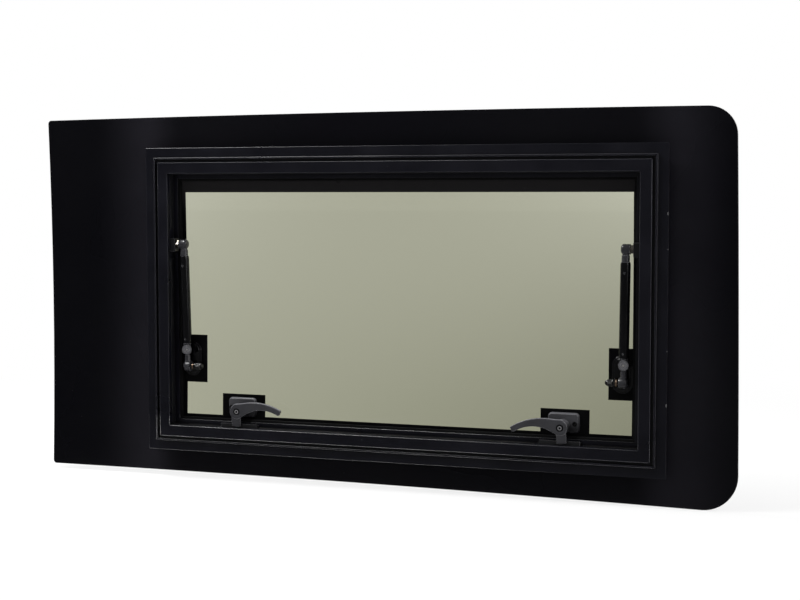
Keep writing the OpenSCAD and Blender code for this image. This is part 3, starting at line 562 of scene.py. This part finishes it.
def blend_tint(factor, first, second):
    """Mixes two colours, each a hex value or a socket."""
    ends = [linear(c) if isinstance(c, str) else c for c in (first, second)]
    return add(pane, "Mix", {"data_type": "RGBA"}, i0=factor, i6=ends[0], i7=ends[1]).outputs[2]


# Painted light and shade: the tint is shifted paler upwards, deeper low on the right, and dimmer in the
# middle of its upper half.
low_tint = blend_tint(across, "#a9aa96", "#8b8c78")
climb = add(pane, "Math", {"operation": "POWER"}, i0=rise, i1=1.5)
tint = blend_tint(climb.outputs[0], low_tint, "#babba9")
aside = add(pane, "Math", {"operation": "SUBTRACT"}, i0=across, i1=0.5)
off_squared = add(pane, "Math", {"operation": "MULTIPLY"}, i0=aside.outputs[0], i1=aside.outputs[0])
dim_near_middle = add(pane, "MapRange", Value=off_squared.outputs[0], From_Min=0.0, From_Max=0.25,
           To_Min=0.7, To_Max=0.0)
painted_dim_top_middle = add(pane, "Math", {"operation": "MULTIPLY"}, i0=dim_near_middle.outputs[0], i1=rise)
clear = add(pane, "BsdfPrincipled", Base_Color=blend_tint(painted_dim_top_middle.outputs[0], tint, "#a4a592"),
            Roughness=0.0, IOR=PANE_IOR, Transmission_Weight=1.0)
add(pane, "OutputMaterial", Surface=clear.outputs[0])
dress("tinted_glass", tinted)
print("pane finish:", tinted.name)

# %% [markdown]
# ## Rounded edges
#
# A sawn or moulded edge is never quite sharp. The imported meshes have a vertex for each face,
# so they are welded first. Then a narrow bevel rounds what is sharper than 35 degrees, and it
# catches the thin bright lines that the photograph shows. Where two lengths of frame meet in a
# mitre, a rounded edge would open a groove that the real joint does not have. So for the frame
# a small node group gives each edge a bevel weight, and leaves the mitres at nothing. The bent
# panel keeps its sharp edges, because a bevel would twist the normals of its long faces.

# %% Bevel weights for the mitred frame
SHARP = math.radians(35)
WELD = 1e-6
MITRE_KEPT = 1.0
weights = bpy.data.node_groups.new("edges_but_no_mitres", "GeometryNodeTree")
weights.interface.new_socket("Geometry", in_out="INPUT", socket_type="NodeSocketGeometry")
weights.interface.new_socket("Geometry", in_out="OUTPUT", socket_type="NodeSocketGeometry")
start = add(weights, "NodeGroupInput")
welded = add(weights, "GeometryNodeMergeByDistance", Geometry=start.outputs[0], Distance=WELD)
bend = add(weights, "GeometryNodeInputMeshEdgeAngle").outputs["Unsigned Angle"]
sharp = add(weights, "Math", {"operation": "GREATER_THAN"}, i0=bend, i1=SHARP)
middle_of = add(weights, "GeometryNodeInputPosition").outputs[0]
off_mitre = add(weights, "Math", {"operation": "GREATER_THAN"},
                i0=mitre_distance(weights, middle_of), i1=MITRE_KEPT * MM)
weight = add(weights, "Math", {"operation": "MULTIPLY"}, i0=sharp.outputs[0],
             i1=off_mitre.outputs[0])
stored = add(weights, "GeometryNodeStoreNamedAttribute",
             {"data_type": "FLOAT", "domain": "EDGE"}, Geometry=welded.outputs[0],
             Name="bevel_weight_edge", Value=weight.outputs[0])
add(weights, "NodeGroupOutput", i0=stored.outputs[0])
print("nodes in the group:", len(weights.nodes))

# %% Weld and bevel
ROUND_MM = {
    "frame_coat": 0.8, "trim_plastic": 0.4, "keeper_plastic": 0.8, "latch_plastic": 1.1,
    "stay_plastic": 0.4, "knob_plastic": 0.5, "foot_plastic": 0.9, "hinge_alloy": 0.4,
    "rod_plastic": 0.3,
}
rounded = 0
for row in frame["record"]["subparts"]:
    width = ROUND_MM.get(row["material_slot"])
    if not width:
        continue
    solid = parts[row["node"]]
    on_frame = row["material_slot"] == "frame_coat"
    if on_frame:
        solid.modifiers.new("edge_weights", "NODES").node_group = weights
    else:
        solid.modifiers.new("weld", "WELD").merge_threshold = WELD
    soft = solid.modifiers.new("soft_edges", "BEVEL")
    soft.width = width * MM
    soft.segments = 2
    soft.limit_method = "WEIGHT" if on_frame else "ANGLE"
    soft.angle_limit = SHARP
    soft.harden_normals = True
    rounded += 1
print("pieces with rounded edges:", rounded)

# %% [markdown]
# ## Small metal and moulded detail
#
# What is too small for a solid is drawn here as mesh. Most of it is turned: a profile of radius
# and height is spun about an axis, as on a lathe, and the result is laid at its place with its
# axis in any direction. A cross recess needs no cutting tool: the head's top is filled between
# its rim and a cross outline, and that outline is drawn down into the head.

# %% Turned and cross-headed pieces


def laid(place, axis):
    """The matrix that puts a piece drawn up z at place, pointing along axis."""
    turn = Vector(axis).normalized().to_track_quat("Z", "Y").to_matrix().to_4x4()
    return Matrix.Translation(place) @ turn


def spun(mesh, profile, matrix, steps=32):
    """Adds a closed turned shape to a bmesh. profile lists radius and height in mm, from the
    axis at the top to the axis at the bottom or to an open rim."""
    rings = []
    for radius, height in profile:
        if radius == 0:
            rings.append([mesh.verts.new(matrix @ (Vector((0, 0, height)) * MM))])
            continue
        rings.append([mesh.verts.new(matrix @ (Vector((radius * math.cos(a), radius * math.sin(a),
                                                       height)) * MM))
                      for a in (math.tau * i / steps for i in range(steps))])
    for upper, lower in zip(rings, rings[1:]):
        for i in range(steps):
            k = (i + 1) % steps
            corners = [upper[i % len(upper)], lower[i % len(lower)], lower[k % len(lower)],
                       upper[k % len(upper)]]
            unique = [v for n, v in enumerate(corners) if v not in corners[:n]]
            mesh.faces.new(unique)


def cross_head(mesh, matrix, radius, height, arm, width, depth, steps=32):
    """Adds a low domed screw head with a cross recess, drawn up z from its seat."""
    def ring(r, h):
        return [mesh.verts.new(matrix @ (Vector((r * math.cos(a), r * math.sin(a), h)) * MM))
                for a in (math.tau * i / steps for i in range(steps))]
    rings = [ring(radius, 0), ring(radius, height * 0.45), ring(radius * 0.86, height * 0.85),
             ring(radius * 0.68, height)]
    for lower, upper in zip(rings, rings[1:]):
        for i in range(steps):
            k = (i + 1) % steps
            mesh.faces.new([lower[i], lower[k], upper[k], upper[i]])
    half = width / 2
    outline = [(arm, -half), (arm, half), (half, half), (half, arm), (-half, arm), (-half, half),
               (-arm, half), (-arm, -half), (-half, -half), (-half, -arm), (half, -arm),
               (half, -half)]
    rim = [mesh.verts.new(matrix @ (Vector((x, y, height)) * MM)) for x, y in outline]
    floor_at = [mesh.verts.new(matrix @ (Vector((x * 0.8, y * 0.8, height - depth)) * MM))
                for x, y in outline]
    edges = []
    for loop in (rings[-1], rim):
        for i, vert in enumerate(loop):
            after = loop[(i + 1) % len(loop)]
            edges.append(mesh.edges.get((vert, after)) or mesh.edges.new((vert, after)))
    bmesh.ops.triangle_fill(mesh, edges=edges, use_beauty=True)
    for i in range(len(rim)):
        k = (i + 1) % len(rim)
        mesh.faces.new([rim[i], rim[k], floor_at[k], floor_at[i]])
    mesh.faces.new(floor_at)


def made_of(name, mesh, material, body, angle=35):
    """Turns a bmesh into a piece of one material that rides on a body."""
    bmesh.ops.recalc_face_normals(mesh, faces=mesh.faces)
    data = bpy.data.meshes.new(name)
    mesh.to_mesh(data)
    mesh.free()
    data.materials.append(material)
    data.shade_smooth()
    data.set_sharp_from_angle(angle=math.radians(angle))
    built = bpy.data.objects.new(name, data)
    scene.collection.objects.link(built)
    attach(built, body)
    print(name, "faces:", len(data.polygons))
    return built


print("helpers for small pieces ready")

# %% [markdown]
# Each latch base is held by two cross-head screws, sunk in its two holes. They are blackened
# steel, and a round spot of painted shade on each base darkens round its outer hole, so the holes
# read as dark rings with a glint. Each keeper on the sill has two as well, of yellow passivated steel.

# %% Latch and keeper screws
dark_zinc = finish("blackened_zinc_screw", "#3a3a3c", "#4a4a4c", "#8c8c8e", 0.35, 0.6, 0.2,
                   metal=1.0, shade_depth_mm=1.5)
BASE_SCREW_Y = 22.35
screws = bmesh.new()
for side in (-1, 1):
    for end in (-1, 1):
        spot_x = side * PIVOT_X + BASE_OUT + end * SCREW_OUT
        cross_head(screws, laid(at(spot_x, BASE_SCREW_Y, BASE_SCREW_Z), (0, -1, 0)),
                   radius=2.45, height=1.5, arm=1.5, width=0.6, depth=0.9)
made_of("latch_base_screws", screws, dark_zinc, "window")

KEEPER_X, KEEPER_OUT, KEEPER_Y, KEEPER_Z = 279.8, 23.85, 11.05, -212.7
bronze = finish("yellow_passivated_screw", "#8a7350", "#a08860", "#e0cfa8", 0.3, 0.6, 0.2,
                metal=1.0, shade_depth_mm=1.5)
keeper_screws = bmesh.new()
for side in (-1, 1):
    for end in (-1, 1):
        spot_x = side * (KEEPER_X + end * KEEPER_OUT)
        cross_head(keeper_screws, laid(at(spot_x, KEEPER_Y, KEEPER_Z), (0, 0, 1)),
                   radius=2.9, height=2.6, arm=1.8, width=0.7, depth=1.1)
made_of("keeper_screws", keeper_screws, bronze, "window")

# %% [markdown]
# A clamp knob's face has turned rings in its dish and a small zinc insert in its hub. They are
# spun about the knob's own joint axis and ride on the knob, so they turn with it.

# %% Knob faces
KNOB_FACE = 11.35
knob_ring = finish("turned_nylon_rings", "#505053", "#5a5a5e", "#9a9a9e", 0.38, 1.0, 0.2,
                   level=0.5)
insert = finish("zinc_insert", "#8a8883", "#9a9892", "#d0ccc4", 0.36, 0.6, 0.1, metal=0.6)
for hand, joint in (("left", "clamp_left"), ("right", "clamp_right")):
    row = next(j for j in frame["joints"] if j["name"] == joint)
    axis = Vector(row["axis"]).normalized()
    pivot = Vector(row["pos_m"])
    if axis.y > 0:
        axis = -axis
    face = laid(pivot + axis * KNOB_FACE * MM, axis)
    rings = bmesh.new()
    for radius in (3.5, 4.4, 5.3):
        spun(rings, [(radius - 0.22, -0.7), (radius - 0.16, -0.42), (radius + 0.16, -0.42),
                     (radius + 0.22, -0.7)], face)
    made_of("knob_rings_" + hand, rings, knob_ring, "knob_" + hand)
    centre = bmesh.new()
    spun(centre, [(0, 0.02), (0.5, 0.05), (0.9, 0.3), (1.25, 0.3), (1.5, 0.12), (1.55, -0.1)], face)
    made_of("knob_insert_" + hand, centre, insert, "knob_" + hand)

# %% [markdown]
# The right flange's outer edge was knocked twice: the coat came off down to bright metal in
# narrow drops that wrap the edge. Two smaller chips lie between them. Each is a thin plate drawn
# along the edge's section, 0.06 mm proud so that it does not fight the coat.

# %% Chips on the right flange
EDGE_X, EDGE_R, PROUD = FRAME_W / 2, 0.8, 0.06
CHIP_ROWS, CHIP_ACROSS = 8, 5
bare = finish("bare_aluminium_chip", "#c9c9cb", "#dededf", "#f4f4f5", 0.4, 0.5, 0.3, metal=1.0)


def edge_point(run, height):
    """A point along the flange edge's section: run in mm, negative on the face, and its height."""
    quarter = math.pi / 2 * EDGE_R
    if run < 0:
        return at(EDGE_X - EDGE_R + run, -PROUD, height)
    if run > quarter:
        return at(EDGE_X + PROUD, EDGE_R + run - quarter, height)
    turn = run / EDGE_R
    return at(EDGE_X - EDGE_R + (EDGE_R + PROUD) * math.sin(turn),
              EDGE_R - (EDGE_R + PROUD) * math.cos(turn), height)


def chip(mesh, middle, length, face_in, wall_in, skew):
    """Adds one drop-shaped chip round a height on the edge."""
    rows = []
    for i in range(CHIP_ROWS + 1):
        t = i / CHIP_ROWS
        swell = math.sin(math.pi * t) ** 0.6 * (1 + skew * math.sin(5.1 * t + middle))
        left, right = -face_in * swell, 0.6 + wall_in * swell
        rows.append([mesh.verts.new(edge_point(left + (right - left) * k / CHIP_ACROSS,
                                               middle + length * (t - 0.5)))
                     for k in range(CHIP_ACROSS + 1)])
    for low_row, high_row in zip(rows, rows[1:]):
        for k in range(CHIP_ACROSS):
            mesh.faces.new([low_row[k], low_row[k + 1], high_row[k + 1], high_row[k]])


chips = bmesh.new()
for height, length, face_in, wall_in, skew in (
        (151.0, 5.6, 1.1, 1.2, 0.15), (-145.0, 5.2, 1.0, 1.2, -0.12),
        (96.0, 1.6, 0.3, 0.5, 0.1), (-61.0, 1.3, 0.2, 0.5, 0.1)):
    chip(chips, height, length, face_in, wall_in, skew)
made_of("flange_chips", chips, bare, "window")
